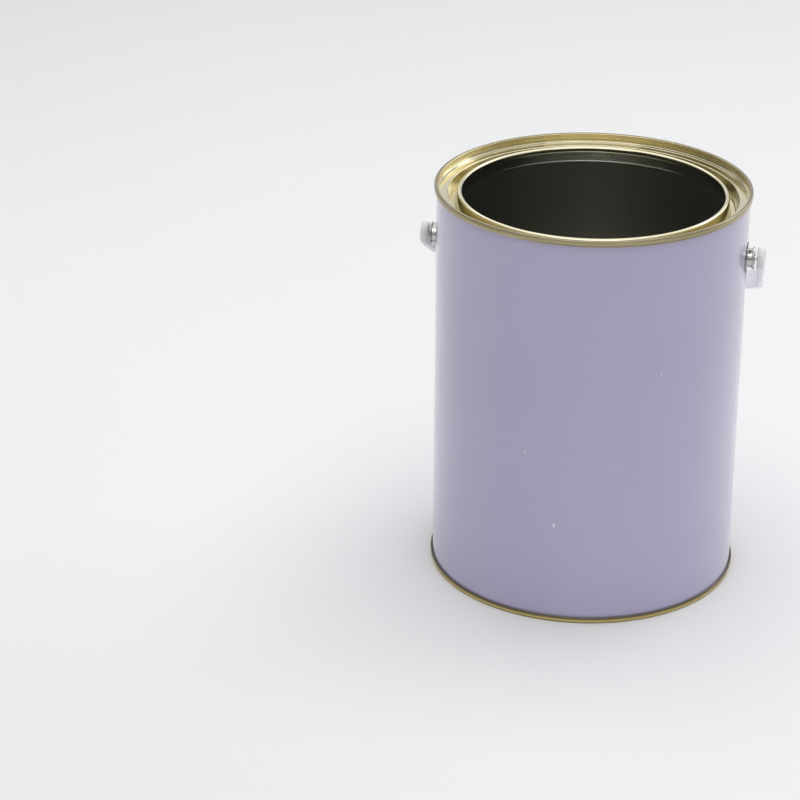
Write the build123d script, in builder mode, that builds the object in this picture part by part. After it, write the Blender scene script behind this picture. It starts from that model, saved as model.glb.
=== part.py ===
from build123d import *

import os
from math import atan2, cos, degrees, radians, sin

# Open paint can with a groove ring for a push-in lid and a plastic strap handle.
# Millimetres. The origin is on the can's axis at the foot, +Z is up, and the
# handle's pivot axis runs along X. The handle rests against the back wall, at +Y.

# Can body
CAN_HEIGHT = 231.3
BODY_RADIUS = 88.0            # outside of the rolled wall
BODY_PLATE = 0.30             # tinplate of the wall
END_PLATE = 0.32              # tinplate of the ring and of the bottom
WELD_WIDTH = 1.2              # overlap of the welded side seam
WELD_RISE = 0.12              # how far it stands out of the wall
WELD_MARGIN = 6.0             # from each end of the can to the end of the plain weld

# Double seams: wall and end plate are folded into each other, five layers deep
SEAM_HEIGHT = 3.4
SEAM_GAP = 0.08               # room between two layers
SEAM_CROWN = 0.55             # radius over the top of the seam
FOLD_RADIUS = 0.35            # radius of each hook's fold
END_HOOK = 1.3                # from the seam's top to the tip of the end's hook
BODY_HOOK = 2.6               # from the seam's top to the tip of the wall's hook
COMPOUND_TOP = 0.80           # sealing compound in the fold, from the seam's top
COMPOUND_FOOT = 1.10

# Ring, in distances below the seam's top, along the middle of its plate
CHUCK_WALL_RADIUS = 87.28
CHUCK_WALL_DEPTH = 4.76
LEDGE_RADIUS = 86.80
SHELF_OUTER = 86.45
SHELF_OUTER_DEPTH = 5.56
SHELF_INNER = 81.86
SHELF_INNER_DEPTH = 5.74
GROOVE_OUTER = 80.05
GROOVE_INNER = 76.84
GROOVE_DEPTH = 13.86
LIP_OUTER = 75.94
LIP_INNER = 73.76
LIP_DEPTH = 4.01
LIP_FOOT_DEPTH = 7.0
LIP_END = 75.1
STEP_RADIUS = 0.2             # pressed corners of the ledge
SHELF_EDGE_RADIUS = 0.25
GROOVE_RADIUS = 1.0
LIP_RADIUS = 1.05
LIP_FOOT_RADIUS = 0.7

# Bottom end, in heights above the foot, along the middle of its plate
SINK_RADIUS = 87.26
SINK_HEIGHT = 4.6
SINK_INNER = 84.8
PANEL_OUTER = 84.2
PANEL_HEIGHT = 3.8
BEAD_OUTER = 66.0
BEAD_INNER = 61.0
BEAD_SLOPE = 1.0
BEAD_RISE = 0.6
PANEL_BEND = 0.4

# Ears: pressed from sheet, welded to the wall, one on each side
PIVOT_HEIGHT = 194.6
EAR_RADIUS = 8.75
EAR_SHEET = 0.4
EAR_NECK = 5.4                # radius of the neck's middle
EAR_LIFT = 0.25
EAR_SHOULDER = 3.25
EAR_RIM = 6.25
EAR_FACE = 3.95
DIMPLE_OUTER = 4.3
DIMPLE_INNER = 3.7
DIMPLE_FACE = 3.35
EAR_HOLE = 1.75
EAR_BEND = 0.33

# Studs: the strap turns on them
STUD_RADIUS = 1.5
STUD_FLANGE = 4.4
STUD_FLANGE_FRONT = 3.1
STUD_FLANGE_THICKNESS = 0.8
STUD_HEAD_RADIUS = 2.4
STUD_HEAD_THICKNESS = 0.9
STUD_HEAD_EDGE = 0.35

# Handle: a moulded strap bent into a hoop
STRAP_WIDTH = 12.5
STRAP_THICKNESS = 3.2
PAD_THICKNESS = 4.0
PAD_LENGTH = 8.0              # straight and full thickness, from the pivot
TAPER_LENGTH = 20.0           # along the leg, down to the strap's thickness
HOOP_HALF_WIDTH = 95.7        # pivot ends, from the can's axis to the strap's middle
LEG_LEAN = 3.1                # the legs lean in towards the crown
LEG_BEND_RADIUS = 60.0
LEG_LENGTH = 51.6             # straight part of each leg, from the bend
HOOP_CORNER_RADIUS = 20.0
REST_ANGLE = 30.4             # below the horizontal, resting against the wall
WALL_CLEARANCE = 0.3
CHANNEL_WIDTH = 8.6           # shallow channel along the strap's outside
CHANNEL_DEPTH = 0.35
CHANNEL_START = 34.0
PIN_CLEARANCE = 0.05
COUNTERBORE_RADIUS = 2.7
COUNTERBORE_DEPTH = 1.4
HEAD_CLEARANCE = 0.15

# Seam layers, from the inside out, as radii of the middle of each plate
WALL_MIDDLE = BODY_RADIUS - BODY_PLATE / 2
CHUCK_MIDDLE = BODY_RADIUS - BODY_PLATE - SEAM_GAP - END_PLATE / 2
END_HOOK_MIDDLE = BODY_RADIUS + SEAM_GAP + END_PLATE / 2
BODY_HOOK_MIDDLE = END_HOOK_MIDDLE + END_PLATE / 2 + SEAM_GAP + BODY_PLATE / 2
SEAM_OUTER_MIDDLE = BODY_HOOK_MIDDLE + BODY_PLATE / 2 + SEAM_GAP + END_PLATE / 2
BODY_FOLD = END_PLATE + SEAM_GAP + BODY_PLATE / 2

# The hoop's far end touches the wall with the strap's lower edge
TILT = radians(REST_ANGLE)
HOOP_INNER_LENGTH = (BODY_RADIUS + WALL_CLEARANCE + STRAP_WIDTH / 2 * sin(TILT)) / cos(TILT)
HOOP_LENGTH = HOOP_INNER_LENGTH + STRAP_THICKNESS / 2
LEG_OUTWARD = Vector(cos(radians(LEG_LEAN)), sin(radians(LEG_LEAN)))
LEG_ONWARD = Vector(-sin(radians(LEG_LEAN)), cos(radians(LEG_LEAN)))
BEND_CENTRE = Vector(HOOP_HALF_WIDTH - LEG_BEND_RADIUS, PAD_LENGTH)
LEG_FOOT = BEND_CENTRE + LEG_OUTWARD * LEG_BEND_RADIUS
CORNER_CENTRE = LEG_FOOT - LEG_OUTWARD * HOOP_CORNER_RADIUS + LEG_ONWARD * LEG_LENGTH
CORNER_SPAN = HOOP_LENGTH - HOOP_CORNER_RADIUS
CROWN_CENTRE = (CORNER_SPAN**2 - CORNER_CENTRE.length**2) / (2 * (CORNER_SPAN - CORNER_CENTRE.Y))
CROWN_RADIUS = HOOP_LENGTH - CROWN_CENTRE
CROWN_START = degrees(atan2(CORNER_CENTRE.Y - CROWN_CENTRE, CORNER_CENTRE.X))
HOOP_PLANE = Plane(origin=(0, 0, PIVOT_HEIGHT), x_dir=(1, 0, 0), z_dir=(0, sin(TILT), cos(TILT)))
PAD_FACE = HOOP_HALF_WIDTH + PAD_THICKNESS / 2


def sheet_section(points, radii, thickness):
    """Section of a bent sheet, given the line along its middle as (radius, height)."""
    reach = 2 * CAN_HEIGHT
    with BuildSketch() as section:
        with BuildLine():
            FilletPolyline(*points, radius=radii)
            offset(amount=thickness / 2)
        make_face()
        Rectangle(reach, reach, align=(Align.MIN, Align.CENTER), mode=Mode.INTERSECT)
    return section.sketch


def end_seam_line():
    """Middle of an end plate through the double seam, as (radius, distance from the seam's top)."""
    fold = SEAM_HEIGHT - END_PLATE / 2
    top = END_PLATE / 2
    points = [
        (END_HOOK_MIDDLE, END_HOOK),
        (END_HOOK_MIDDLE, fold),
        (SEAM_OUTER_MIDDLE, fold),
        (SEAM_OUTER_MIDDLE, top),
        (CHUCK_MIDDLE, top),
    ]
    radii = [FOLD_RADIUS, FOLD_RADIUS, SEAM_CROWN, SEAM_CROWN]
    return points, radii


def make_body():
    """Rolled wall with a hook at each end and the welded side seam at the back."""
    line = [
        (BODY_HOOK_MIDDLE, BODY_HOOK),
        (BODY_HOOK_MIDDLE, BODY_FOLD),
        (WALL_MIDDLE, BODY_FOLD),
        (WALL_MIDDLE, CAN_HEIGHT - BODY_FOLD),
        (BODY_HOOK_MIDDLE, CAN_HEIGHT - BODY_FOLD),
        (BODY_HOOK_MIDDLE, CAN_HEIGHT - BODY_HOOK),
    ]
    weld_back = BODY_RADIUS + WELD_RISE
    with BuildPart() as can_body:
        with BuildSketch(Plane.XZ):
            add(sheet_section(line, FOLD_RADIUS, BODY_PLATE))
        revolve(axis=Axis.Z)
        with BuildSketch(Plane.XY.offset(WELD_MARGIN)):
            with Locations((0, weld_back)):
                Rectangle(WELD_WIDTH, BODY_PLATE, align=(Align.CENTER, Align.MAX))
        extrude(amount=CAN_HEIGHT - 2 * WELD_MARGIN)
    return can_body.part


def make_ring():
    """Ring seamed onto the wall: chuck wall, ledge, shelf, groove and curled lip."""
    points, radii = end_seam_line()
    points += [
        (CHUCK_WALL_RADIUS, CHUCK_WALL_DEPTH),
        (LEDGE_RADIUS, CHUCK_WALL_DEPTH),
        (SHELF_OUTER, SHELF_OUTER_DEPTH),
        (SHELF_INNER, SHELF_INNER_DEPTH),
        (GROOVE_OUTER, GROOVE_DEPTH),
        (GROOVE_INNER, GROOVE_DEPTH),
        (LIP_OUTER, LIP_DEPTH),
        (LIP_INNER, LIP_DEPTH),
        (LIP_INNER, LIP_FOOT_DEPTH),
        (LIP_END, LIP_FOOT_DEPTH),
    ]
    radii += [STEP_RADIUS, STEP_RADIUS, STEP_RADIUS, SHELF_EDGE_RADIUS]
    radii += [GROOVE_RADIUS, GROOVE_RADIUS, LIP_RADIUS, LIP_RADIUS, LIP_FOOT_RADIUS]
    line = [(radius, CAN_HEIGHT - depth) for radius, depth in points]
    with BuildPart() as top_ring:
        with BuildSketch(Plane.XZ):
            add(sheet_section(line, radii, END_PLATE))
        revolve(axis=Axis.Z)
    return top_ring.part


def make_bottom():
    """Bottom seamed onto the wall: a sunk rim, a flat panel and one stiffening bead."""
    line, radii = end_seam_line()
    line += [
        (SINK_RADIUS, SINK_HEIGHT),
        (SINK_INNER, SINK_HEIGHT),
        (PANEL_OUTER, PANEL_HEIGHT),
        (BEAD_OUTER, PANEL_HEIGHT),
        (BEAD_OUTER - BEAD_SLOPE, PANEL_HEIGHT + BEAD_RISE),
        (BEAD_INNER + BEAD_SLOPE, PANEL_HEIGHT + BEAD_RISE),
        (BEAD_INNER, PANEL_HEIGHT),
        (-END_PLATE, PANEL_HEIGHT),
    ]
    radii += [PANEL_BEND] * 7
    with BuildPart() as bottom_end:
        with BuildSketch(Plane.XZ):
            add(sheet_section(line, radii, END_PLATE))
        revolve(axis=Axis.Z)
    return bottom_end.part


def make_compound(seam_top, inwards):
    """Ring of sealing compound in the fold of a double seam."""
    inner = END_HOOK_MIDDLE - END_PLATE / 2
    with BuildPart() as compound:
        with BuildSketch(Plane.XZ):
            with BuildLine():
                Polyline(
                    (inner, seam_top + inwards * COMPOUND_TOP),
                    (inner + END_PLATE, seam_top + inwards * COMPOUND_TOP),
                    (inner + END_PLATE, seam_top + inwards * COMPOUND_FOOT),
                    (inner, seam_top + inwards * COMPOUND_FOOT),
                    close=True,
                )
            make_face()
        revolve(axis=Axis.Z)
    return compound.part


def make_ear(side):
    """Spool-shaped ear: a foot that follows the wall, a neck, and a folded rim round a dimple."""
    line = [
        (EAR_LIFT, EAR_NECK),
        (EAR_SHOULDER, EAR_NECK),
        (EAR_SHOULDER, EAR_RIM),
        (EAR_FACE, EAR_RIM),
        (EAR_FACE, DIMPLE_OUTER),
        (DIMPLE_FACE, DIMPLE_INNER),
        (DIMPLE_FACE, EAR_HOLE),
    ]
    line = [(side * (BODY_RADIUS + out), PIVOT_HEIGHT + radius) for out, radius in line]
    pivot = Axis((0, 0, PIVOT_HEIGHT), (1, 0, 0))
    foot_plane = Plane(origin=(0, 0, PIVOT_HEIGHT), x_dir=(0, 1, 0), z_dir=(side, 0, 0))
    with BuildPart() as foot:
        with BuildSketch():
            Circle(BODY_RADIUS + EAR_SHEET)
            Circle(BODY_RADIUS, mode=Mode.SUBTRACT)
        extrude(amount=CAN_HEIGHT)
        with BuildSketch(foot_plane):
            Circle(EAR_RADIUS)
            Circle(EAR_NECK, mode=Mode.SUBTRACT)
        extrude(amount=BODY_RADIUS + EAR_RADIUS, mode=Mode.INTERSECT)
    with BuildPart() as ear:
        with BuildSketch(Plane.XZ):
            with BuildLine():
                FilletPolyline(*line, radius=EAR_BEND)
                offset(amount=EAR_SHEET / 2)
            make_face()
        revolve(axis=pivot)
        add(foot.part)
    return ear.part


def make_stud(side):
    """Stud that holds the strap: a flange inside the ear, a shank, and a domed head."""
    flange_front = BODY_RADIUS + STUD_FLANGE_FRONT
    head_back = PAD_FACE - COUNTERBORE_DEPTH + HEAD_CLEARANCE
    stations = [
        (flange_front - STUD_FLANGE_THICKNESS, STUD_FLANGE, STUD_FLANGE_THICKNESS),
        (flange_front, STUD_RADIUS, head_back - flange_front),
        (head_back, STUD_HEAD_RADIUS, STUD_HEAD_THICKNESS),
    ]
    with BuildPart() as stud:
        for start, radius, length in stations:
            plane = Plane(origin=(side * start, 0, PIVOT_HEIGHT), x_dir=(0, 1, 0), z_dir=(side, 0, 0))
            with BuildSketch(plane):
                Circle(radius)
            extrude(amount=length)
        head_rim = stud.edges().filter_by(GeomType.CIRCLE).sort_by(Axis.X)
        fillet(head_rim[-1] if side > 0 else head_rim[0], STUD_HEAD_EDGE)
    return stud.part


def strap_band(inner, outer):
    """Area between two lines that follow the hoop, at distances outside the strap's middle."""
    with BuildSketch() as band:
        with BuildLine():
            for shift in (inner, outer):
                leg_foot = LEG_FOOT + LEG_OUTWARD * shift
                Line((HOOP_HALF_WIDTH + shift, 0), (HOOP_HALF_WIDTH + shift, PAD_LENGTH))
                CenterArc(BEND_CENTRE, LEG_BEND_RADIUS + shift, 0, LEG_LEAN)
                Line(leg_foot, leg_foot + LEG_ONWARD * LEG_LENGTH)
                CenterArc(CORNER_CENTRE, HOOP_CORNER_RADIUS + shift, LEG_LEAN, CROWN_START - LEG_LEAN)
                CenterArc((0, CROWN_CENTRE), CROWN_RADIUS + shift, CROWN_START, 90 - CROWN_START)
            Line((HOOP_HALF_WIDTH + inner, 0), (HOOP_HALF_WIDTH + outer, 0))
            mirror(about=Plane.YZ)
        make_face()
    return band.sketch


def make_handle():
    """Strap hoop with thick rounded ends, each with a stepped hole for its stud."""
    half_strap = STRAP_THICKNESS / 2
    half_pad = PAD_THICKNESS / 2
    taper_end = LEG_FOOT + LEG_ONWARD * TAPER_LENGTH
    with BuildPart() as handle:
        with BuildSketch(HOOP_PLANE):
            add(strap_band(-half_strap, half_strap))
            with BuildLine():
                Polyline(
                    (HOOP_HALF_WIDTH - half_pad, 0),
                    (HOOP_HALF_WIDTH - half_pad, PAD_LENGTH),
                    taper_end - LEG_OUTWARD * half_strap,
                    taper_end + LEG_OUTWARD * half_strap,
                    (HOOP_HALF_WIDTH + half_pad, PAD_LENGTH),
                    (HOOP_HALF_WIDTH + half_pad, 0),
                    close=True,
                )
                mirror(about=Plane.YZ)
            make_face()
        extrude(amount=STRAP_WIDTH / 2, both=True)
        for side in (-1, 1):
            with BuildSketch(Plane(origin=(side * PAD_FACE, 0, PIVOT_HEIGHT), z_dir=(-side, 0, 0))):
                Circle(STRAP_WIDTH / 2)
            extrude(amount=PAD_THICKNESS)
        with BuildSketch(HOOP_PLANE):
            add(strap_band(half_strap - CHANNEL_DEPTH, half_strap))
            with Locations((0, CHANNEL_START / 2)):
                Rectangle(2 * HOOP_LENGTH, CHANNEL_START, mode=Mode.SUBTRACT)
        extrude(amount=CHANNEL_WIDTH / 2, both=True, mode=Mode.SUBTRACT)
        for side in (-1, 1):
            with Locations(Plane(origin=(side * PAD_FACE, 0, PIVOT_HEIGHT), z_dir=(side, 0, 0))):
                CounterBoreHole(
                    radius=STUD_RADIUS + PIN_CLEARANCE,
                    counter_bore_radius=COUNTERBORE_RADIUS,
                    counter_bore_depth=COUNTERBORE_DEPTH,
                    depth=PAD_THICKNESS,
                )
    return handle.part


pieces = {
    "can_body": make_body(),
    "top_ring": make_ring(),
    "bottom_end": make_bottom(),
    "top_seam_compound": make_compound(CAN_HEIGHT, -1),
    "bottom_seam_compound": make_compound(0, 1),
    "ear_left": make_ear(-1),
    "ear_right": make_ear(1),
    "stud_left": make_stud(-1),
    "stud_right": make_stud(1),
    "handle": make_handle(),
}

os.makedirs("parts", exist_ok=True)
for name, piece in pieces.items():
    piece.label = name
    export_step(piece, f"parts/{name}.step")

print("hoop length from the pivot axis, outside:", round(HOOP_LENGTH + STRAP_THICKNESS / 2, 2))
print("crown radius:", round(CROWN_RADIUS, 2), "crown start:", round(CROWN_START, 2))
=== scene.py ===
import math
import random

import bpy
from mathutils import Matrix, Vector


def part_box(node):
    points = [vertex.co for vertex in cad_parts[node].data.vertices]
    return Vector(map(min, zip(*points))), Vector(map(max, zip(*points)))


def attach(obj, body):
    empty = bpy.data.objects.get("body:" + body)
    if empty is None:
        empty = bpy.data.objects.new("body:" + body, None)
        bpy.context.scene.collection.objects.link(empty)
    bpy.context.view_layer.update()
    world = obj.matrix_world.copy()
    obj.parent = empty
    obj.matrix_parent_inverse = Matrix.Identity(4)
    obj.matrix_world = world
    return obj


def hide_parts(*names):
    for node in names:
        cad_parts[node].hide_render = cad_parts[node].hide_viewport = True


# Looks of an open paint can: lilac enamelled wall, gold lacquered ring and bottom, pressed ears
# and a milky strap handle. Metres, +Z up, the can stands on the origin, the pivot axis is X.

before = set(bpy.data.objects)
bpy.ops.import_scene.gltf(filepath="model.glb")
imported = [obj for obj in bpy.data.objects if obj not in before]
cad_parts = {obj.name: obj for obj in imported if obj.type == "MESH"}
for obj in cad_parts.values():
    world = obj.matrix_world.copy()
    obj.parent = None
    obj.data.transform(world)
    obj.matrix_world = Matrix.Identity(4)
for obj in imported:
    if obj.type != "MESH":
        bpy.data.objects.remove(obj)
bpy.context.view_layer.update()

MM = 0.001
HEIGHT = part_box("top_ring")[1].z

# Can wall
BODY_RADIUS = 88.0 * MM
BODY_PLATE = 0.30 * MM
END_PLATE = 0.32 * MM
AROUND = 360                       # steps round the can
WAVE_HEIGHT = 0.05 * MM            # how far the rolled sheet strays from a true cylinder
WAVE_ROWS = 40
WELD_PATH = 6.0 * MM               # from each end of the can to the end of the plain weld
WELD_HALF_WIDTH = 0.6 * MM
WELD_RISE = 0.12 * MM
WELD_PITCH = 1.0 * MM
WELD_SINK = 0.05 * MM              # from the plate's face down to the bead's edges
WELD_ROOT = 0.1 * MM               # from the plate's face down to the bead's back
WELD_CREASE = math.radians(50)
NUGGET_BASE = 0.85                 # shares of the weld's rise: what every row has,
NUGGET_SWELL = 0.14                # and what a nugget adds or takes away
NUGGET_BOW = 0.35                  # how far a nugget's edges are ahead of its middle, in pitches
BARE_STEPS = 2                     # steps of bare plate on each side of the weld

# Double seams, as radii of the middle of each layer
SEAM_HEIGHT = 3.4 * MM
SEAM_CROWN = 0.55 * MM
SEAM_SHADE_BAND = 0.4 * MM               # band along the bottom seam's edges that is painted dark: a contact shadow at the floor and a dark reflection under the fold
FOLD_RADIUS = 0.35 * MM
END_HOOK = 1.3 * MM
BODY_HOOK = 2.6 * MM
CHUCK_MIDDLE = 87.46 * MM
CHUCK_FOOT = 87.28 * MM            # the ring's chuck wall leans in to this
CHUCK_DEPTH = 4.76 * MM            # and ends this far below the seam's top
WALL_MIDDLE = 87.85 * MM
END_HOOK_MIDDLE = 88.24 * MM
BODY_HOOK_MIDDLE = 88.63 * MM
SEAM_OUTER_MIDDLE = 89.02 * MM
BODY_FOLD = 0.55 * MM
BOTTOM_BEND = 0.4 * MM

# Knurl that the seaming chuck rolls into the ring's chuck wall
KNURL_TEETH = 272
KNURL_RISE = 0.22 * MM
KNURL_ROWS = (0.85 * MM, 1.85 * MM, 2.85 * MM)    # below the seam's top
KNURL_FOOT = 0.48 * MM             # from the middle of a row to the foot of its teeth
KNURL_CREST = 0.22 * MM
KNURL_GAP = 0.01 * MM              # how far the knurled skin stands off the chuck wall
KNURL_STEPS = 6                    # steps across a tooth

# Ears, studs and the pivot
PIVOT_HEIGHT = 194.6 * MM
EAR_SHEET = 0.4 * MM
EAR_AROUND = 96
STUD_AROUND = 64
SADDLE_DEPTH = 2.5 * MM            # how far out the ear's foot still follows the wall

# Strap handle
REST_ANGLE = math.radians(30.4)
STRAP_HALF_WIDTH = 6.25 * MM
STRAP_HALF_THICKNESS = 1.6 * MM
PAD_HALF_THICKNESS = 2.0 * MM
PAD_LENGTH = 8.0 * MM
TAPER_END = 31.2 * MM              # along the strap, from the pivot
STRAP_EDGE = 0.55 * MM             # rounding of the moulded edges
PAD_INSET = 0.03 * MM              # how far the strap's faces stay inside its round ends
PAD_NARROWING = 0.04 * MM          # and how far its edges do
PAD_AROUND = 96
DETAIL_FADE = 8 * MM               # length over which the channel and the ribs grow
STRAP_CREASE = math.radians(38)
HOOP_HALF_WIDTH = 95.7 * MM
LEG_LEAN = math.radians(3.1)
LEG_BEND_RADIUS = 60.0 * MM
LEG_LENGTH = 51.6 * MM
HOOP_CORNER_RADIUS = 20.0 * MM
HOOP_LENGTH = 107.64 * MM
PAD_STEPS = 6
BEND_STEPS = 4
LEG_STEPS = 26
CORNER_STEPS = 24
CROWN_STEPS = 36
CHANNEL_HALF_WIDTH = 4.3 * MM
CHANNEL_DEPTH = 0.35 * MM
CHANNEL_SLOPE = 0.3 * MM           # width of the channel's sloping sides
RIB_PITCH = 1.9 * MM
RIB_HALF_WIDTH = 0.45 * MM
RIB_RISE = 0.07 * MM
HOLE_RADIUS = 1.55 * MM
COUNTERBORE_RADIUS = 2.7 * MM
COUNTERBORE_DEPTH = 1.4 * MM
BORE_AROUND = 64
BORE_CLEARANCE = 1 * MM            # how far the cutting tool reaches past the strap's faces

# Camera, worked out from the rims of the can
CAMERA_PLACE = Vector((0.1829, -1.4275, 0.7546))
CAMERA_HEADING = math.radians(11.596)
CAMERA_PITCH = math.radians(24.596)
CAMERA_ROLL = math.radians(0.287)
CAMERA_LENS = 122.33


# ---------------------------------------------------------------- outlines

ARC_STEP = math.radians(24)        # the most that one step turns round a rounded corner
ON_AXIS = 1e-9                     # an outline's points nearer than this are on the axis


def right_of(way):
    """Unit vector to the right of a direction in the (radius, height) plane."""
    return Vector((way.y, -way.x)).normalized()


def corner_arc(before, corner, after, radius):
    """(point, normal) pairs round a corner of the given radius."""
    way_in = (corner - before).normalized()
    way_out = (after - corner).normalized()
    turn = math.atan2(way_in.cross(way_out), way_in.dot(way_out))
    steps = max(2, math.ceil(abs(turn) / ARC_STEP))
    side = math.copysign(1, turn)
    start = corner - way_in * radius * math.tan(abs(turn) / 2)
    centre = start - right_of(way_in) * side * radius
    pairs = []
    for step in range(steps + 1):
        normal = Matrix.Rotation(turn * step / steps, 2) @ right_of(way_in)
        pairs.append((centre + normal * side * radius, normal))
    return pairs


def rounded_line(points, radii):
    """(point, normal) pairs along a line with rounded corners, normals to the right of the way."""
    places = [Vector(point) for point in points]
    pairs = [(places[0], right_of(places[1] - places[0]))]
    for before, corner, after, radius in zip(places, places[1:], places[2:], radii):
        if radius:
            pairs += corner_arc(before, corner, after, radius)
        else:
            pairs.append((corner, right_of(after - before)))
    pairs.append((places[-1], right_of(places[-1] - places[-2])))
    return pairs


def sheet_outline(points, radii, thickness):
    """Closed outline of a bent sheet as (point, face), the right face first, with round tips."""
    pairs = rounded_line(points, radii)
    half = thickness / 2
    outline = [(point + normal * half, "right") for point, normal in pairs]
    outline += round_tip(*pairs[-1], half, 0)
    outline += [(point - normal * half, "left") for point, normal in reversed(pairs)]
    outline += round_tip(*pairs[0], half, math.pi)
    return outline


def round_tip(point, normal, half, start):
    """Two points on the half circle that closes a sheet's tip."""
    tip = []
    for share in (1 / 3, 2 / 3):
        angle = start + share * math.pi
        tip.append((point + Matrix.Rotation(angle, 2) @ normal * half, "tip"))
    return tip


def solid_outline(points, radii):
    """Outline of a turned solid that starts and ends on its axis."""
    return [(point, "right") for point, _ in rounded_line(points, radii)]


# ---------------------------------------------------------------- meshes

def make_object(name, vertices, faces, slots, materials):
    """New object with its materials, a slot number for each face."""
    mesh = bpy.data.meshes.new(name)
    mesh.from_pydata(vertices, [], faces)
    for material in materials:
        mesh.materials.append(material)
    mesh.polygons.foreach_set("material_index", slots)
    mesh.update()
    piece = bpy.data.objects.new(name, mesh)
    bpy.context.scene.collection.objects.link(piece)
    return piece


def shade_by_area(piece):
    """Smooth shading in which the larger faces round a vertex set its normal: flats stay flat."""
    mesh = piece.data
    mesh.shade_smooth()
    normals = [Vector() for _ in mesh.vertices]
    for face in mesh.polygons:
        for vertex in face.vertices:
            normals[vertex] += face.normal * face.area
    mesh.normals_split_custom_set_from_vertices([normal.normalized() for normal in normals])


def crease_by_area(piece, crease):
    """The same, but a face leaves out the faces that turn from it by more than the crease."""
    mesh = piece.data
    mesh.shade_smooth()
    around = [[] for _ in mesh.vertices]
    for face in mesh.polygons:
        for vertex in face.vertices:
            around[vertex].append(face)
    least = math.cos(crease)
    normals = []
    for face in mesh.polygons:
        for vertex in face.vertices:
            near = [other for other in around[vertex] if other.normal.dot(face.normal) >= least]
            total = sum((other.normal * other.area for other in near), Vector())
            normals.append(total.normalized())
    mesh.normals_split_custom_set(normals)


def on_can(radius, height, angle):
    """Place round the can's axis."""
    return Vector((radius * math.cos(angle), radius * math.sin(angle), height))


def one_slot(face, point, step):
    """Material slot of every face of a piece that has one material."""
    return 0


def lathe(name, outline, materials, place=on_can, steps=AROUND, pick=one_slot, closed=True):
    """Piece turned from an outline of (radius, height) points round an axis that place knows."""
    vertices = []
    rings = []
    for point, _ in outline:
        count = 1 if point.x < ON_AXIS else steps
        rings.append((len(vertices), count))
        vertices += [place(point.x, point.y, math.tau * step / steps) for step in range(count)]
    faces = []
    slots = []
    last = len(outline) if closed else len(outline) - 1
    for row in range(last):
        (start, count), (next_start, next_count) = rings[row], rings[(row + 1) % len(rings)]
        for step in range(steps):
            ahead = step + 1
            corners = [
                start + step % count,
                start + ahead % count,
                next_start + ahead % next_count,
                next_start + step % next_count,
            ]
            if count + next_count > 2:
                faces.append(list(dict.fromkeys(corners)))
                slots.append(pick(outline[row][1], outline[row][0], step))
    piece = make_object(name, vertices, faces, slots, materials)
    shade_by_area(piece)
    return piece


def end_seam_line():
    """Middle of an end plate through the double seam, as (radius, distance from the seam's top)."""
    fold = SEAM_HEIGHT - END_PLATE / 2
    top = END_PLATE / 2
    points = [
        (END_HOOK_MIDDLE, END_HOOK),
        (END_HOOK_MIDDLE, fold),
        (SEAM_OUTER_MIDDLE, fold),
        (SEAM_OUTER_MIDDLE, top),
        (CHUCK_MIDDLE, top),
    ]
    return points, [FOLD_RADIUS, FOLD_RADIUS, SEAM_CROWN, SEAM_CROWN]


# ---------------------------------------------------------------- materials

ROLLED = (0.02, 0.02, 1)           # stretch of the lines that the seaming rolls leave


class Nodes:
    """A material's node tree with short ways to add what this script needs."""

    def __init__(self, name):
        self.material = bpy.data.materials.new(name)
        self.material.use_nodes = True
        self.tree = self.material.node_tree
        self.shader = self.tree.nodes["Principled BSDF"]
        self.place = self.add("ShaderNodeTexCoord").outputs["Object"]

    def add(self, kind, **values):
        node = self.tree.nodes.new(kind)
        for name, value in values.items():
            setattr(node, name, value)
        return node

    def feed(self, socket, value):
        """Links an output to a socket, or sets a plain value on it."""
        if isinstance(value, bpy.types.NodeSocket):
            self.tree.links.new(value, socket)
        else:
            socket.default_value = value

    def set(self, **values):
        """Sets or links the shader's own sockets, named with underscores for spaces."""
        for name, value in values.items():
            self.feed(self.shader.inputs[name.replace("_", " ")], value)

    def noise(self, scale, detail=3.0, stretch=(1, 1, 1), roughness=0.5):
        mapping = self.add("ShaderNodeMapping")
        mapping.inputs["Scale"].default_value = stretch
        self.feed(mapping.inputs["Vector"], self.place)
        noise = self.add("ShaderNodeTexNoise")
        noise.inputs["Scale"].default_value = scale
        noise.inputs["Detail"].default_value = detail
        noise.inputs["Roughness"].default_value = roughness
        self.feed(noise.inputs["Vector"], mapping.outputs["Vector"])
        return noise.outputs["Fac"]

    def band(self, value, low, high, start=0.0, end=1.0):
        """Maps a value from low..high to start..end, held at both ends."""
        node = self.add("ShaderNodeMapRange")
        self.feed(node.inputs["Value"], value)
        node.inputs["From Min"].default_value = low
        node.inputs["From Max"].default_value = high
        node.inputs["To Min"].default_value = start
        node.inputs["To Max"].default_value = end
        return node.outputs["Result"]

    def blend(self, share, first, second):
        """Mixes two colours."""
        node = self.add("ShaderNodeMix", data_type="RGBA")
        self.feed(node.inputs["Factor"], share)
        self.feed(node.inputs["A"], first)
        self.feed(node.inputs["B"], second)
        return node.outputs["Result"]

    def maths(self, operation, first, second):
        node = self.add("ShaderNodeMath", operation=operation)
        self.feed(node.inputs[0], first)
        self.feed(node.inputs[1], second)
        return node.outputs["Value"]

    def bump(self, height, depth, strength=1.0, under=None):
        node = self.add("ShaderNodeBump")
        node.inputs["Strength"].default_value = strength
        node.inputs["Distance"].default_value = depth
        self.feed(node.inputs["Height"], height)
        if under:
            self.feed(node.inputs["Normal"], under)
        return node.outputs["Normal"]


def colour(red, green, blue):
    return (red, green, blue, 1.0)


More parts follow.
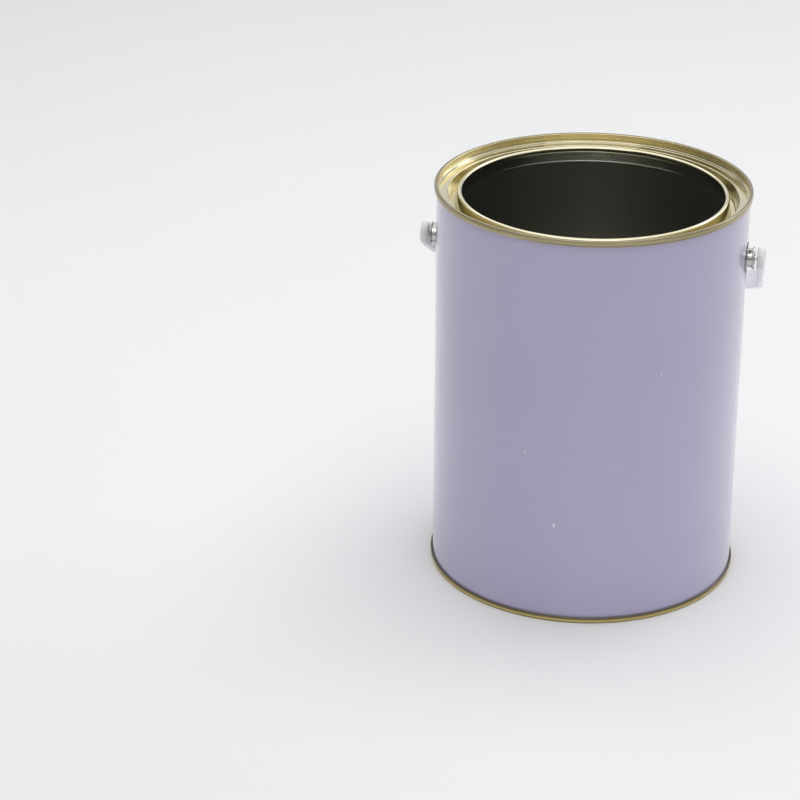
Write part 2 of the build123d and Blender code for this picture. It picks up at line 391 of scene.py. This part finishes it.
def enamel_material():
    """Gloss lilac enamel on rolled plate: slow waves, orange peel, specks and rubbed spots."""
    n = Nodes("lilac_enamel")
    drift = n.noise(9, 2)
    haze = n.noise(30, 4, (1, 1, 0.4))
    specks = n.band(n.noise(900, 1), 0.79, 0.83)
    # Rubbed spots here are real wear, and only make the enamel rougher.
    wear_and_shade_mask = n.band(n.noise(45, 6, (1, 1, 2.5), 0.7), 0.66, 0.78)
    deep, light = colour(0.475, 0.440, 0.640), colour(0.505, 0.468, 0.670)
    base = n.blend(n.band(drift, 0.3, 0.7), deep, light)
    nicks = n.band(n.noise(150, 2, (1, 1, 0.3)), 0.75, 0.77)
    marks = n.maths("MAXIMUM", n.maths("MULTIPLY", specks, 0.35), n.maths("MULTIPLY", nicks, 0.9))
    marked = n.blend(marks, base, colour(0.86, 0.85, 0.9))
    sheen = n.band(haze, 0.3, 0.7, 0.32, 0.38)
    n.set(
        Base_Color=marked,
        Roughness=n.maths("ADD", sheen, n.maths("MULTIPLY", wear_and_shade_mask, 0.12)),
        Specular_IOR_Level=0.5,
        Coat_Weight=1.0,
        Coat_Roughness=0.025,
        Coat_IOR=1.5,
    )
    waves = n.bump(n.noise(22, 2, (1, 1, 0.5)), 0.25 * MM)
    peel = n.bump(n.noise(700, 2), 0.004 * MM, under=waves)
    n.set(Normal=peel, Coat_Normal=peel)
    return n.material


def tin_material(name, light, dark, roughness):
    """Tinplate, bare or tinted: a rolling grain along the sheet and slow changes of sheen."""
    n = Nodes(name)
    grain = n.noise(160, 2, (1, 1, 0.03))
    sheen = n.noise(14, 1)
    n.set(
        Base_Color=n.blend(n.band(grain, 0.3, 0.7), colour(*dark), colour(*light)),
        Metallic=1.0,
        Roughness=n.band(sheen, 0.3, 0.7, roughness, roughness + 0.04),
        Normal=n.bump(grain, 0.004 * MM, 0.5),
    )
    return n.material


def gold_material(name, light, deep, roughness, scale=45, stretch=(1, 1, 1)):
    """Gold lacquer on tinplate: glossy, thinner in cloudy patches, with a faint fine grain."""
    n = Nodes(name)
    cloud = n.noise(scale, 3, stretch)
    grain = n.noise(1200, 1)
    worn = n.band(n.noise(140, 5, roughness=0.65), 0.64, 0.76)
    lacquer = n.blend(n.band(cloud, 0.3, 0.7), colour(*deep), colour(*light))
    n.set(
        Base_Color=n.blend(n.maths("MULTIPLY", worn, 0.35), lacquer, colour(0.72, 0.70, 0.62)),
        Metallic=1.0,
        Roughness=n.band(worn, 0, 1, roughness, roughness + 0.08),
        Normal=n.bump(grain, 0.0012 * MM, 0.5),
    )
    return n.material


def rolled_seam_material():
    """Gold lacquer drawn into lines by the seaming rolls, with painted shade: a contact shadow
    along its foot and a dark reflection under its fold.
    """
    n = Nodes("rolled_seam")
    lines = n.noise(1000, 3, ROLLED)
    split = n.add("ShaderNodeSeparateXYZ")
    n.feed(split.inputs["Vector"], n.place)
    # Painted shade by height: a contact shadow next to the floor, and a dark reflection towards the
    # fold.
    foot = n.band(split.outputs["Z"], 0.3 * MM, 0.8 * MM, 1, 0)
    fold_shade = n.band(split.outputs["Z"], 1.6 * MM, 2.6 * MM)
    deep, light = colour(0.52, 0.415, 0.16), colour(0.72, 0.575, 0.225)
    lacquer = n.blend(n.band(lines, 0.3, 0.7), deep, light)
    wear_and_shade_mask = n.maths("MAXIMUM", foot, fold_shade)
    n.set(
        # The dark colour is painted shade, not a material of the seam.
        Base_Color=n.blend(wear_and_shade_mask, lacquer, colour(0.165, 0.138, 0.085)),
        Metallic=1.0,
        Roughness=n.band(lines, 0.3, 0.7, 0.20, 0.26),
        Normal=n.bump(lines, 0.002 * MM, 0.5),
    )
    return n.material


def ear_material(name, light, dark, roughness):
    """Pressed tinplate with drawing marks, or its cut edge, which is darkened as painted shade."""
    n = Nodes(name)
    blotch = n.noise(300, 4)
    n.set(
        Base_Color=n.blend(n.band(blotch, 0.35, 0.65), colour(*dark), colour(*light)),
        Metallic=1.0,
        Roughness=n.band(blotch, 0.3, 0.7, roughness, roughness + 0.10),
        Normal=n.bump(n.noise(500, 3), 0.05 * MM, 0.7),
    )
    return n.material


def stud_material():
    """Nickel plated steel."""
    n = Nodes("stud_nickel")
    haze = n.noise(700, 3)
    n.set(
        Base_Color=n.blend(haze, colour(0.62, 0.58, 0.52), colour(0.74, 0.72, 0.68)),
        Metallic=1.0,
        Roughness=n.band(haze, 0.3, 0.7, 0.10, 0.2),
        Normal=n.bump(haze, 0.01 * MM, 0.4),
    )
    return n.material


def weld_material():
    """Resistance weld: steel with straw and blue heat colours."""
    n = Nodes("weld_steel")
    heat = n.noise(180, 3, (1, 1, 0.3))
    n.set(
        Base_Color=n.blend(heat, colour(0.22, 0.20, 0.18), colour(0.34, 0.33, 0.36)),
        Metallic=1.0,
        Roughness=n.band(heat, 0.3, 0.7, 0.35, 0.5),
        Normal=n.bump(n.noise(1500, 3), 0.02 * MM, 0.7),
    )
    return n.material


def compound_material():
    """Rubbery sealing compound."""
    n = Nodes("sealing_compound")
    mottle = n.noise(500, 4)
    n.set(
        Base_Color=n.blend(mottle, colour(0.10, 0.12, 0.11), colour(0.16, 0.18, 0.17)),
        Roughness=n.band(mottle, 0.3, 0.7, 0.6, 0.8),
        Normal=n.bump(mottle, 0.05 * MM),
    )
    return n.material


def strap_material():
    """Milky polyethylene: light passes through it, with faint flow marks."""
    n = Nodes("milky_plastic")
    flow = n.noise(120, 4)
    n.set(
        Base_Color=n.blend(flow, colour(0.985, 0.960, 0.915), colour(1.000, 0.980, 0.945)),
        Roughness=n.band(flow, 0.3, 0.7, 0.34, 0.42),
        IOR=1.5,
        Subsurface_Weight=1.0,
        Subsurface_Radius=(1.0, 1.0, 1.0),
        Subsurface_Scale=16.0 * MM,
        Normal=n.bump(n.noise(500, 3), 0.02 * MM, 0.5),
    )
    return n.material


def floor_material():
    """White studio paper."""
    n = Nodes("studio_paper")
    shade = n.noise(2, 2)
    n.set(
        Base_Color=n.blend(shade, colour(0.798, 0.800, 0.810), colour(0.818, 0.820, 0.830)),
        Roughness=0.85,
        Specular_IOR_Level=0.15,
    )
    return n.material


enamel = enamel_material()
tin = tin_material("bare_tin", (0.70, 0.70, 0.655), (0.65, 0.65, 0.605), 0.18)
ring_tin = tin_material("ring_tin", (0.80, 0.80, 0.77), (0.74, 0.74, 0.71), 0.12)
crown_tin = tin_material("crown_tin", (0.34, 0.30, 0.20), (0.29, 0.26, 0.17), 0.16)
ring_gold = gold_material("ring_gold", (0.745, 0.700, 0.520), (0.690, 0.640, 0.460), 0.14)
knurl_gold = gold_material("knurl_gold", (0.760, 0.655, 0.360), (0.700, 0.600, 0.310), 0.12)
seam_gold = gold_material(
    "seam_gold", (0.480, 0.420, 0.250), (0.260, 0.220, 0.120), 0.20, 1000, ROLLED)
# Painted shade: a near-black gold that stands in for the contact shadow and the dark reflection
# along the bottom seam's edges.
painted_seam_shade = gold_material("painted_seam_shade", (0.160, 0.145, 0.100), (0.110, 0.100, 0.070), 0.30)
rolled_seam = rolled_seam_material()
bottom_gold = gold_material("bottom_gold", (0.700, 0.640, 0.420), (0.640, 0.580, 0.360), 0.20)
pressed_tin = ear_material("pressed_tin", (0.68, 0.68, 0.66), (0.36, 0.36, 0.34), 0.08)
# Cut steel edge made far darker than steel: it also carries painted shade for the shadow gap round
# the ear's foot and its hole.
shaded_cut_edge = ear_material("shaded_cut_edge", (0.16, 0.16, 0.15), (0.09, 0.09, 0.09), 0.30)
nickel = stud_material()
weld_steel = weld_material()
compound = compound_material()
milky = strap_material()


# ---------------------------------------------------------------- can wall

def wall_waves():
    """Slow waves of the rolled sheet: (height of wave, turns round the can, waves up it, phase)."""
    dice = random.Random(7)
    waves = []
    for turns in (3, 5, 8, 11, 16):
        rise = WAVE_HEIGHT / math.sqrt(turns)
        waves.append((rise, turns, dice.uniform(0.5, 2.5), dice.uniform(0, math.tau)))
    return waves


WAVES = wall_waves()


def on_wall(radius, height, angle):
    """Place on the wall, with the waves fading out towards both seams."""
    share = min(max(height / HEIGHT, 0), 1)
    fade = math.sin(math.pi * share) ** 0.5 if BODY_FOLD < height < HEIGHT - BODY_FOLD else 0
    stray = sum(rise * math.sin(turns * angle + math.tau * up * share + phase)
                for rise, turns, up, phase in WAVES)
    return on_can(radius + fade * stray, height, angle)


def make_wall():
    """Rolled wall with a hook at each end, enamelled outside except beside the weld."""
    line = [(BODY_HOOK_MIDDLE, BODY_HOOK), (BODY_HOOK_MIDDLE, BODY_FOLD), (WALL_MIDDLE, BODY_FOLD)]
    rows = [HEIGHT * row / WAVE_ROWS for row in range(1, WAVE_ROWS)]
    line += [(WALL_MIDDLE, row) for row in rows]
    line += [(radius, HEIGHT - height) for radius, height in reversed(line[:3])]
    radii = [FOLD_RADIUS] * 2 + [0] * len(rows) + [FOLD_RADIUS] * 2
    back = AROUND // 4
    painted, bare = range(2)

    def pick(face, point, step):
        by_weld = back - BARE_STEPS <= step < back + BARE_STEPS
        return painted if face == "right" and not by_weld else bare

    outline = sheet_outline(line, radii, BODY_PLATE)
    wall = lathe("can_wall", outline, [enamel, tin], on_wall, pick=pick)
    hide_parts("can_body")
    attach(wall, "can")


def make_weld(name, surface, outwards, material):
    """Bead of the side weld: a flattened strip with one nugget after another."""
    across = [-1.0, -0.9, -0.6, -0.2, 0.2, 0.6, 0.9, 1.0]
    step = WELD_PITCH / 4
    count = round((HEIGHT - 2 * WELD_PATH) / step)
    vertices = []
    for row in range(count + 1):
        height = WELD_PATH + row * step
        for share in across:
            turns = height / WELD_PITCH + NUGGET_BOW * share * share
            nugget = NUGGET_SWELL * math.cos(math.tau * turns)
            rise = WELD_RISE * (1 - share**6) * (NUGGET_BASE + nugget)
            radius = surface + outwards * (rise - WELD_SINK)
            vertices.append((share * WELD_HALF_WIDTH, radius, height))
    for row in range(count + 1):
        height = WELD_PATH + row * step
        root = surface - outwards * WELD_ROOT
        vertices += [(side * WELD_HALF_WIDTH, root, height) for side in (-1, 1)]
    width = len(across)
    backs = (count + 1) * width
    faces = []
    for row in range(count):
        for column in range(width - 1):
            first = row * width + column
            faces.append((first, first + 1, first + 1 + width, first + width))
        left, right = backs + 2 * row, backs + 2 * row + 1
        faces.append((left, row * width, (row + 1) * width, left + 2))
        faces.append((right + 2, (row + 2) * width - 1, (row + 1) * width - 1, right))
        faces.append((left + 2, right + 2, right, left))
    for row in (0, count):
        end = [row * width + column for column in range(width)]
        end += [backs + 2 * row + 1, backs + 2 * row]
        faces.append(end if row else end[::-1])
    if outwards > 0:
        faces = [tuple(reversed(face)) for face in faces]
    weld = make_object(name, vertices, faces, [0] * len(faces), [material])
    weld.data.shade_smooth()
    weld.data.set_sharp_from_angle(angle=WELD_CREASE)
    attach(weld, "can")


# ---------------------------------------------------------------- ring and bottom

def make_ring():
    """Ring for the lid: chuck wall, ledge, shelf, groove and curled lip, lacquered outside."""
    line, radii = end_seam_line()
    line += [
        (CHUCK_FOOT, CHUCK_DEPTH),
        (86.80 * MM, CHUCK_DEPTH),
        (86.45 * MM, 5.56 * MM),
        (81.86 * MM, 5.74 * MM),
        (80.05 * MM, 13.86 * MM),
        (76.84 * MM, 13.86 * MM),
        (75.94 * MM, 4.01 * MM),
        (73.76 * MM, 4.01 * MM),
        (73.76 * MM, 7.0 * MM),
        (75.1 * MM, 7.0 * MM),
    ]
    radii += [radius * MM for radius in (0.2, 0.2, 0.2, 0.25, 1.0, 1.0, 1.05, 1.05, 0.7)]
    line = [(radius, HEIGHT - depth) for radius, depth in line]
    outline = sheet_outline(line, radii, END_PLATE)
    lacquer, bare, seam, crown = range(4)

    def pick(face, point, step):
        if face == "left":
            return bare
        if point.y > HEIGHT - SEAM_CROWN:
            return crown
        return seam if point.x > BODY_RADIUS else lacquer

    ring = lathe("lid_ring", outline, [ring_gold, ring_tin, seam_gold, crown_tin], pick=pick)
    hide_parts("top_ring")
    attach(ring, "can")


def make_knurl():
    """Knurled skin of the chuck wall: rows of teeth, each row half a tooth on from the last."""
    lean = (CHUCK_FOOT - CHUCK_MIDDLE) / (CHUCK_DEPTH - END_PLATE / 2)
    ways = (-KNURL_FOOT, -KNURL_CREST, KNURL_CREST, KNURL_FOOT)
    depths = [row + way for row in KNURL_ROWS for way in ways]
    face = [(CHUCK_MIDDLE - END_PLATE / 2 + lean * depth, HEIGHT - depth) for depth in depths]
    back = [(radius + END_PLATE / 2, height) for radius, height in (face[-1], face[0])]
    outline = [(Vector(point), "right") for point in face + back]
    crest_of = {}
    for spot in range(len(face)):
        row, way = divmod(spot, len(ways))
        if abs(ways[way]) == KNURL_CREST:
            crest_of[outline[spot][0].y] = row

    def on_knurl(radius, height, angle):
        rise = 0
        if height in crest_of:
            turn = KNURL_TEETH * angle + crest_of[height] * math.pi
            rise = KNURL_RISE * (0.5 + 0.5 * math.cos(turn))
        return on_can(radius - KNURL_GAP - rise, height, angle)

    knurl = lathe("ring_knurl", outline, [knurl_gold], on_knurl, KNURL_STEPS * KNURL_TEETH)
    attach(knurl, "can")


def make_bottom():
    """Bottom: a sunk rim, a flat panel and one stiffening bead, lacquered underneath."""
    line, radii = end_seam_line()
    line += [
        (87.26 * MM, 4.6 * MM),
        (84.8 * MM, 4.6 * MM),
        (84.2 * MM, 3.8 * MM),
        (66.0 * MM, 3.8 * MM),
        (65.0 * MM, 4.4 * MM),
        (62.0 * MM, 4.4 * MM),
        (61.0 * MM, 3.8 * MM),
        (0, 3.8 * MM),
    ]
    radii += [BOTTOM_BEND] * 7
    pairs = rounded_line(line, radii)
    half = END_PLATE / 2
    outline = [(point + normal * half, "right") for point, normal in pairs]
    outline += [(point - normal * half, "left") for point, normal in reversed(pairs)]
    outline += round_tip(*pairs[0], half, math.pi)
    bare, lacquer, seam, shade = range(4)

    def pick(face, point, step):
        if face == "right":
            return bare
        # Painted shade: the outer layers next to the floor get a painted contact shadow, and next
        # to the fold a painted dark reflection.
        rim = point.y < SEAM_SHADE_BAND or point.y > SEAM_HEIGHT - SEAM_SHADE_BAND
        if rim and point.x > END_HOOK_MIDDLE:
            return shade
        return seam if point.x > SEAM_OUTER_MIDDLE else lacquer

    bottom = lathe("can_bottom", outline, [tin, bottom_gold, rolled_seam, painted_seam_shade], pick=pick)
    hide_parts("bottom_end")
    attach(bottom, "can")


# ---------------------------------------------------------------- ears and studs

def on_pivot(side):
    """Place round the pivot axis; the part near the wall follows the wall's curve."""
    def place(radius, out, angle):
        across = side * radius * math.cos(angle)
        share = min(max(out / SADDLE_DEPTH, 0), 1)
        follow = 1 - share * share * (3 - 2 * share)
        drop = BODY_RADIUS - math.sqrt(BODY_RADIUS**2 - across**2)
        reach = BODY_RADIUS + out - follow * drop
        return Vector((side * reach, across, PIVOT_HEIGHT + radius * math.sin(angle)))
    return place


def straight_out(side):
    """Place round the pivot axis, for a part that doesn't touch the wall."""
    def place(radius, out, angle):
        across = side * radius * math.cos(angle)
        return Vector((side * (BODY_RADIUS + out), across, PIVOT_HEIGHT + radius * math.sin(angle)))
    return place


def in_metres(points, radii):
    """An outline's points and corner radii, from millimetres."""
    return [(a * MM, b * MM) for a, b in points], [radius * MM for radius in radii]


def make_ear(name, side, node):
    """Pressed ear: a foot welded to the wall, a neck, a folded rim and a dimple with a hole."""
    line = [
        (8.55, 0.2), (5.4, 0.2),
        (5.4, 3.25), (6.25, 3.25),
        (6.25, 3.95), (4.3, 3.95),
        (3.7, 3.35), (1.75, 3.35),
    ]
    outline = sheet_outline(*in_metres(line, [0.5, 0.33, 0.33, 0.33, 0.33, 0.33]), EAR_SHEET)
    sheet, shaded_edge = range(2)

    # The sheet's cut edges, at the foot and round the hole, get the dark edge material: cut steel
    # with painted shade.
    def pick(face, point, step):
        return shaded_edge if face == "tip" else sheet

    ear = lathe(name, outline, [pressed_tin, shaded_cut_edge], on_pivot(side), EAR_AROUND, pick)
    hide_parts(node)
    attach(ear, "can")


def make_stud(name, side, node):
    """Stud that the strap turns on: flange inside the ear, shank and domed head."""
    line = [
        (0, 2.3), (4.4, 2.3),
        (4.4, 3.1), (1.5, 3.1),
        (1.5, 8.45), (2.4, 8.45),
        (2.4, 9.35), (0, 9.35),
    ]
    outline = solid_outline(*in_metres(line, [0.2, 0.2, 0.1, 0.1, 0.1, 0.35]))
    stud = lathe(name, outline, [nickel], straight_out(side), STUD_AROUND, closed=False)
    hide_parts(node)
    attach(stud, "can")


# ---------------------------------------------------------------- handle

def arc_stations(centre, radius, start, stop, steps, reach):
    """Stations along an arc of the hoop: (point, outward way, distance along the strap)."""
    stations = []
    for step in range(steps):
        angle = start + (stop - start) * step / steps
        out = Vector((math.cos(angle), math.sin(angle)))
        stations.append((centre + out * radius, out, reach + radius * (angle - start)))
    return stations


def hoop_path():
    """Stations along the middle of the strap from one pivot to the other."""
    out = Vector((math.cos(LEG_LEAN), math.sin(LEG_LEAN)))
    onward = Vector((-out.y, out.x))
    bend = Vector((HOOP_HALF_WIDTH - LEG_BEND_RADIUS, PAD_LENGTH))
    foot = bend + out * LEG_BEND_RADIUS
    leg_start = PAD_LENGTH + LEG_BEND_RADIUS * LEG_LEAN
    leg_end = leg_start + LEG_LENGTH
    corner = foot - out * HOOP_CORNER_RADIUS + onward * LEG_LENGTH
    span = HOOP_LENGTH - HOOP_CORNER_RADIUS
    crown_y = (span**2 - corner.length_squared) / (2 * (span - corner.y))
    crown_start = math.atan2(corner.y - crown_y, corner.x)
    crown = Vector((0, crown_y))
    crown_radius = HOOP_LENGTH - crown_y
    half = []
    for step in range(PAD_STEPS):
        along = PAD_LENGTH * step / PAD_STEPS
        half.append((Vector((HOOP_HALF_WIDTH, along)), Vector((1, 0)), along))
    half += arc_stations(bend, LEG_BEND_RADIUS, 0, LEG_LEAN, BEND_STEPS, PAD_LENGTH)
    for step in range(LEG_STEPS):
        place = foot + onward * LEG_LENGTH * step / LEG_STEPS
        half.append((place, out, leg_start + LEG_LENGTH * step / LEG_STEPS))
    half += arc_stations(corner, HOOP_CORNER_RADIUS, LEG_LEAN, crown_start, CORNER_STEPS, leg_end)
    half += arc_stations(crown, crown_radius, crown_start, math.pi / 2, CROWN_STEPS, leg_end)
    top = [(Vector((0, HOOP_LENGTH)), Vector((0, 1)), leg_end)]
    other = [(Vector((-place.x, place.y)), Vector((-way.x, way.y)), reach)
             for place, way, reach in reversed(half)]
    return half + top + other


def strap_section(half_thickness, half_width, detail):
    """Closed section of the strap as (outward, across) points: a channel outside, ribs inside."""
    edge = STRAP_EDGE
    flat = half_width - edge
    top = half_thickness
    sink = CHANNEL_DEPTH * detail
    floor, rim = CHANNEL_HALF_WIDTH, CHANNEL_HALF_WIDTH + CHANNEL_SLOPE
    outer = [(top, -flat), (top, -rim), (top - sink, -floor),
             (top - sink, floor), (top, rim), (top, flat)]
    inner = [(-top, flat)]
    for rib in (2, 1, 0, -1, -2):
        middle = rib * RIB_PITCH
        raised = -top - RIB_RISE * detail
        inner += [(-top, middle + RIB_HALF_WIDTH), (raised, middle + RIB_HALF_WIDTH / 2),
                  (raised, middle - RIB_HALF_WIDTH / 2), (-top, middle - RIB_HALF_WIDTH)]
    inner.append((-top, -flat))
    return outer + edge_arc(top - edge, flat, 1) + inner + edge_arc(top - edge, -flat, -1)


def edge_arc(out, across, side):
    """Rounded edge between two faces of the strap, with both corners, on the side 1 or -1."""
    points = []
    for face, degrees in ((1, 60), (1, 30), (1, 0), (-1, 0), (-1, 30), (-1, 60)):
        angle = math.radians(degrees)
        outward = face * side * (out + STRAP_EDGE * math.sin(angle))
        points.append((outward, across + side * STRAP_EDGE * math.cos(angle)))
    return points


def hoop_to_can(point, across):
    """From the hoop's plane to the can's frame at rest."""
    lean, rise = math.cos(REST_ANGLE), math.sin(REST_ANGLE)
    height = PIVOT_HEIGHT - point.y * rise + across * lean
    return Vector((point.x, point.y * lean + across * rise, height))


def make_strap():
    """Swept strap, thicker towards its ends, cut square at the pivots."""
    vertices = []
    stations = hoop_path()
    for point, out, reach in stations:
        share = min(max((reach - PAD_LENGTH) / (TAPER_END - PAD_LENGTH), 0), 1)
        gain = STRAP_HALF_THICKNESS - PAD_HALF_THICKNESS + PAD_INSET
        half = PAD_HALF_THICKNESS - PAD_INSET + gain * share
        detail = min(max((reach - TAPER_END) / DETAIL_FADE, 0), 1)
        width = STRAP_HALF_WIDTH - PAD_NARROWING * (1 - share)
        for outward, across in strap_section(half, width, detail):
            vertices.append(hoop_to_can(point + out * outward, across))
    size = len(vertices) // len(stations)
    faces = []
    for row in range(len(stations) - 1):
        for column in range(size):
            first, second = row * size + column, row * size + (column + 1) % size
            faces.append((first, first + size, second + size, second))
    faces.append(tuple(range(size)))
    faces.append(tuple(range(len(stations) * size - 1, (len(stations) - 1) * size - 1, -1)))
    return make_object("strap_handle", vertices, faces, [0] * len(faces), [milky])


def combine(piece, tools, operation):
    """Joins tools to a piece, or cuts them out, in one step, and removes the tools."""
    group = bpy.data.collections.new(operation)
    for tool in tools:
        group.objects.link(tool)
    modifier = piece.modifiers.new(operation, "BOOLEAN")
    modifier.operation = operation
    modifier.solver = "EXACT"
    modifier.operand_type = "COLLECTION"
    modifier.collection = group
    bpy.context.view_layer.update()
    joined = piece.evaluated_get(bpy.context.evaluated_depsgraph_get())
    result = bpy.data.meshes.new_from_object(joined)
    piece.modifiers.clear()
    piece.data = result
    for tool in tools:
        bpy.data.objects.remove(tool)
    bpy.data.collections.remove(group)


def turned_tools(name, points, radii, steps):
    """The same turned solid on the pivot axis at each end of the strap."""
    outline = solid_outline(points, radii)
    return [lathe(name, outline, [milky], straight_out(side), steps, closed=False)
            for side in (-1, 1)]


def make_handle():
    """Strap with thick rounded ends, each with a stepped hole for its stud."""
    handle = make_strap()
    middle = HOOP_HALF_WIDTH - BODY_RADIUS
    front = middle + PAD_HALF_THICKNESS
    back = middle - PAD_HALF_THICKNESS
    disc = [(0, back), (STRAP_HALF_WIDTH, back), (STRAP_HALF_WIDTH, front), (0, front)]
    ends = turned_tools("strap_end", disc, [STRAP_EDGE, STRAP_EDGE], PAD_AROUND)
    combine(handle, ends, "UNION")
    start = back - BORE_CLEARANCE
    step = front - COUNTERBORE_DEPTH
    stop = front + BORE_CLEARANCE
    bore = [(0, start), (HOLE_RADIUS, start), (HOLE_RADIUS, step),
            (COUNTERBORE_RADIUS, step), (COUNTERBORE_RADIUS, stop), (0, stop)]
    combine(handle, turned_tools("strap_bore", bore, [0, 0, 0, 0], BORE_AROUND), "DIFFERENCE")
    crease_by_area(handle, STRAP_CREASE)
    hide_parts("handle")
    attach(handle, "handle")


# ---------------------------------------------------------------- build

make_wall()
make_weld("weld_outside", BODY_RADIUS, 1, weld_steel)
make_weld("weld_inside", BODY_RADIUS - BODY_PLATE, -1, tin)
make_ring()
make_knurl()
make_bottom()
make_ear("pressed_ear_left", -1, "ear_left")
make_ear("pressed_ear_right", 1, "ear_right")
make_stud("pivot_stud_left", -1, "stud_left")
make_stud("pivot_stud_right", 1, "stud_right")
make_handle()

for node_name in ("top_seam_compound", "bottom_seam_compound"):
    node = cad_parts[node_name]
    node.data.materials.clear()
    node.data.materials.append(compound)


# ---------------------------------------------------------------- studio

FLOOR_REACH = 12.0
ROOM_GLOW = 0.05


def make_floor():
    """Wide white floor."""
    reach = FLOOR_REACH
    corners = [(-reach, -reach, 0), (reach, -reach, 0), (reach, reach, 0), (-reach, reach, 0)]
    floor = make_object("studio_floor", corners, [(0, 1, 2, 3)], [0], [floor_material()])


def make_softbox(name, place, target, width, height, power):
    """Rectangular area light that faces a target."""
    lamp = bpy.data.lights.new(name, "AREA")
    lamp.shape = "RECTANGLE"
    lamp.size = width
    lamp.size_y = height
    lamp.energy = power
    softbox = bpy.data.objects.new(name, lamp)
    softbox.location = place
    softbox.rotation_euler = (Vector(target) - Vector(place)).to_track_quat("-Z", "Y").to_euler()
    bpy.context.scene.collection.objects.link(softbox)
    return softbox


def make_world():
    """Dim neutral room."""
    world = bpy.data.worlds.new("studio_room")
    world.use_nodes = True
    background = world.node_tree.nodes["Background"]
    background.inputs["Color"].default_value = (1.0, 0.98, 0.96, 1)
    background.inputs["Strength"].default_value = ROOM_GLOW
    bpy.context.scene.world = world


def make_camera():
    """Camera at the viewing angle worked out from the can's rims."""
    data = bpy.data.cameras.new("camera")
    data.lens = CAMERA_LENS
    data.sensor_width = 36
    data.clip_start = 0.05
    data.clip_end = 60
    camera = bpy.data.objects.new("camera", data)
    heading = Matrix.Rotation(CAMERA_HEADING, 4, "Z")
    aim = heading @ Matrix.Rotation(math.pi / 2 - CAMERA_PITCH, 4, "X")
    roll = Matrix.Rotation(CAMERA_ROLL, 4, "Z")
    camera.matrix_world = Matrix.Translation(CAMERA_PLACE) @ aim @ roll
    bpy.context.scene.collection.objects.link(camera)
    bpy.context.scene.camera = camera


make_floor()
# Each light with its place, target, width, height and watts. The top one isn't mirrored in the
# can, and the ceiling is only mirrored, so both can be bright enough.
make_softbox("softbox_top", (0, 0.1, 2.1), (0, 0, 0), 2.4, 2.2, 45).visible_glossy = False
make_softbox("mirrored_ceiling", (0, 0.1, 2.2), (0, 0, 0), 5.0, 5.0, 100).visible_diffuse = False
make_softbox("softbox_front", (0, -1.3, 1.8), (0, 0, 0), 2.0, 1.2, 5)
make_softbox("softbox_back_right", (1.8, 1.9, 1.4), (0, 0, 0.1), 2.2, 1.8, 17)
make_softbox("softbox_back_left", (-1.8, 1.9, 1.4), (0, 0, 0.1), 2.2, 1.8, 4)
make_softbox("room_back", (0, 3.4, 1.5), (0, 0, 0.5), 5.0, 2.6, 30)
make_softbox("room_front", (0.6, -3.4, 1.8), (0, 0, 0.5), 5.0, 2.4, 21)
make_softbox("room_right", (3.4, 0, 1.6), (0, 0, 0.5), 5.0, 2.4, 13)
make_softbox("room_left", (-3.4, 0, 1.6), (0, 0, 0.5), 5.0, 2.4, 5)
make_world()
make_camera()
bpy.context.scene.view_settings.view_transform = "Standard"
